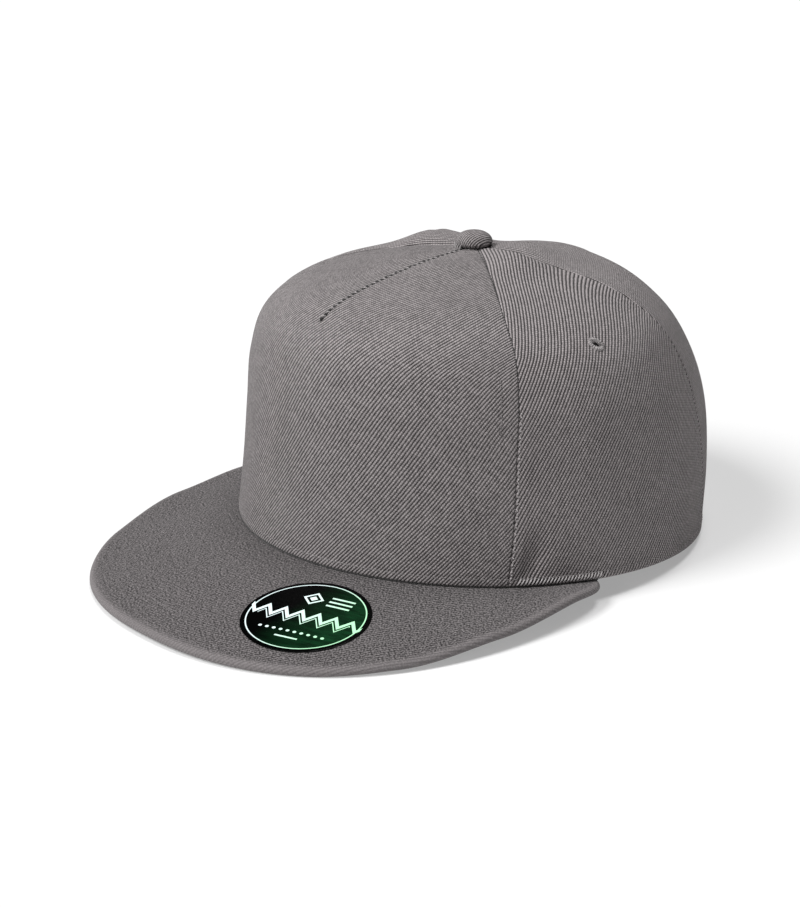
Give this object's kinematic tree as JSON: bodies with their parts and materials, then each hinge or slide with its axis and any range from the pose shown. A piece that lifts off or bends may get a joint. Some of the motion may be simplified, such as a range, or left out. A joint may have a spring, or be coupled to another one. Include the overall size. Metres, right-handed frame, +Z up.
{
  "type": "five-panel cap",
  "caption": "Flat-peaked cloth cap with a wide front panel, button on top, vent holes in its sides and a closing strap behind.",
  "frame": {"origin": "on the surface that the cap stands on, below the middle of the cap's whole length and width", "axes": "+Z up, -Y the way the peak points, +X the wearer's left"},
  "size_m": [0.1932, 0.261, 0.123],
  "materials": {
    "twill": "warm grey cotton twill with diagonal ribs",
    "peak_twill": "the same twill drawn over a stiff board",
    "band_cloth": "plain matte cotton",
    "strap_plastic": "satin moulded plastic",
    "label_film": "glossy black film with a green sheen"
  },
  "bodies": {
    "root": {"front_panel": "twill", "side_panel_left": "twill", "side_panel_right": "twill", "back_panel_left": "twill", "back_panel_right": "twill", "peak": "peak_twill", "top_button": "twill", "sweatband": "band_cloth", "snap_strap": "strap_plastic", "peak_label": "label_film"}
  },
  "joints": []
}
